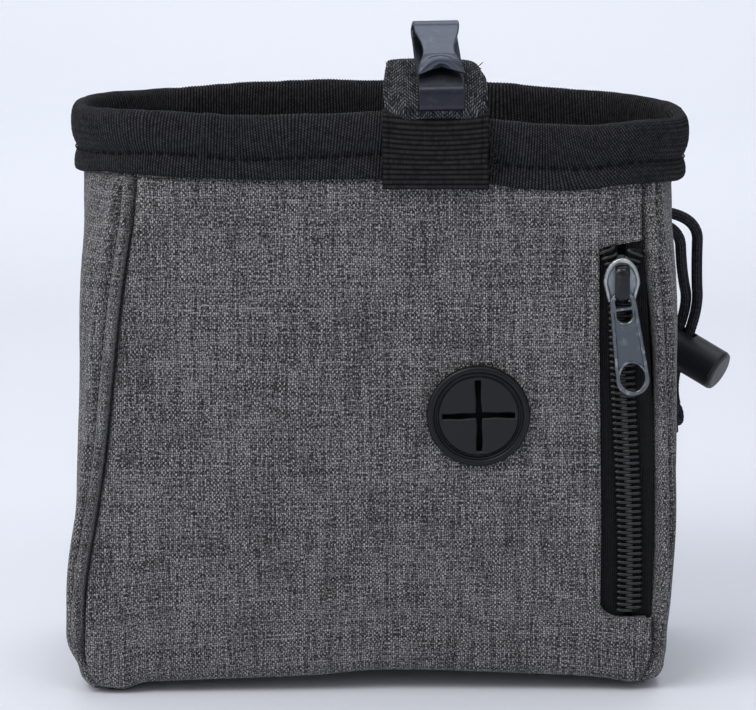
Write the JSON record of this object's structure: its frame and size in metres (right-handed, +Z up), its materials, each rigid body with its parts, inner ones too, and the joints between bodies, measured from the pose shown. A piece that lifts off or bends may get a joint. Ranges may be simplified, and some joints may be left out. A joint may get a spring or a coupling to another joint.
{
  "type": "treat pouch",
  "caption": "Open fabric treat pouch with a bound mouth, side gussets, cross-slit rubber port, zip pocket, belt clip and drawstring with cord lock.",
  "frame": {"origin": "centre of the bag's flat base, on the floor it stands on", "axes": "+X right and -Y towards the viewer of the front face with the port, +Z up out of the mouth"},
  "size_m": [0.1624, 0.0729, 0.1635],
  "materials": {
    "heather_cloth": "woven two-tone heather, matte",
    "black_webbing": "ribbed black webbing, matte",
    "lining_cloth": "thin plain black lining, slight sheen",
    "collar_cloth": "thin plain black cloth",
    "black_cord": "braided, matte",
    "zip_tape": "fine twill tape, matte",
    "zip_coil": "nylon coil, slight sheen",
    "slider_metal": "worn grey paint, satin",
    "puller_metal": "gunmetal, satin",
    "black_rubber": "soft moulded rubber, matte",
    "clip_steel": "dark spring steel, satin",
    "eyelet_metal": "black enamel, satin",
    "lock_plastic": "smooth, satin",
    "spring_band": "plain spring steel"
  },
  "bodies": {
    "bag": {"body_wrap": "heather_cloth", "gusset_left": "heather_cloth", "gusset_right": "heather_cloth", "mouth_binding": "black_webbing", "mouth_stiffener": "spring_band", "lining": "lining_cloth", "drawstring_collar": "collar_cloth", "drawstring_hem_run": "black_cord", "pocket_wall": "lining_cloth", "zip_tape_left": "zip_tape", "zip_tape_right": "zip_tape", "zip_coil_left": "zip_coil", "zip_coil_right": "zip_coil", "outlet_port": "black_rubber", "webbing_anchor": "black_webbing", "cord_eyelet": "eyelet_metal", "cord_strand_outer": "black_cord", "cord_strand_inner": "black_cord", "cord_knot": "black_cord"},
    "zip_slider": {"slider_body": "slider_metal"},
    "zip_puller": {"slider_puller": "puller_metal"},
    "petal_1": {"outlet_petal_1": "black_rubber"},
    "petal_2": {"outlet_petal_2": "black_rubber"},
    "petal_3": {"outlet_petal_3": "black_rubber"},
    "petal_4": {"outlet_petal_4": "black_rubber"},
    "clip": {"webbing_loop": "black_webbing", "belt_clip_strip": "clip_steel"},
    "clip_tongue": {"belt_clip_tongue": "clip_steel"},
    "cord_lock": {"lock_barrel": "lock_plastic", "lock_spring": "spring_band"},
    "lock_button": {"lock_plunger": "lock_plastic"}
  },
  "joints": [
    {"name": "zip_slide", "type": "slide", "parent": "bag", "child": "zip_slider", "axis": [0, 0, 1], "range_m": [-0.07, 0], "deforming": ["zip_coil_left", "zip_coil_right"]},
    {"name": "puller_swing", "type": "hinge", "parent": "zip_slider", "child": "zip_puller", "pos_m": [0.0576, -0.0324, 0.0995], "axis": [-0.9903, 0, -0.1392], "range_deg": [-4, 120]},
    {"name": "petal_1_bend", "type": "hinge", "parent": "bag", "child": "petal_1", "pos_m": [0.02796, -0.0298, 0.07366], "axis": [-0.7071, 0, 0.7071], "range_deg": [-20, 40], "stiffness_Nm_per_rad": 0.001},
    {"name": "petal_2_bend", "type": "hinge", "parent": "bag", "child": "petal_2", "pos_m": [0.02796, -0.0298, 0.06574], "axis": [0.7071, 0, 0.7071], "range_deg": [-20, 40], "stiffness_Nm_per_rad": 0.001},
    {"name": "petal_3_bend", "type": "hinge", "parent": "bag", "child": "petal_3", "pos_m": [0.02004, -0.0298, 0.06574], "axis": [0.7071, 0, -0.7071], "range_deg": [-20, 40], "stiffness_Nm_per_rad": 0.001},
    {"name": "petal_4_bend", "type": "hinge", "parent": "bag", "child": "petal_4", "pos_m": [0.02004, -0.0298, 0.07366], "axis": [-0.7071, 0, -0.7071], "range_deg": [-20, 40], "stiffness_Nm_per_rad": 0.001},
    {"name": "clip_swing", "type": "hinge", "parent": "bag", "child": "clip", "pos_m": [0.0135, -0.0278, 0.1389], "axis": [1, 0, 0], "range_deg": [-30, 40], "stiffness_Nm_per_rad": 0.05},
    {"name": "tongue_flex", "type": "hinge", "parent": "clip", "child": "clip_tongue", "pos_m": [0.01329, -0.02226, 0.15926], "axis": [-0.989, -0.1478, 0], "range_deg": [0, 12], "stiffness_Nm_per_rad": 0.03},
    {"name": "lock_slide", "type": "slide", "parent": "bag", "child": "cord_lock", "axis": [0.3522, -0.1991, 0.9145], "range_m": [-0.003, 0.006], "deforming": ["cord_strand_outer", "cord_strand_inner"]},
    {"name": "button_press", "type": "slide", "parent": "cord_lock", "child": "lock_button", "axis": [0.7952, -0.4507, -0.4056], "range_m": [0, 0.003], "stiffness_N_per_m": 120, "deforming": ["lock_spring"]}
  ]
}
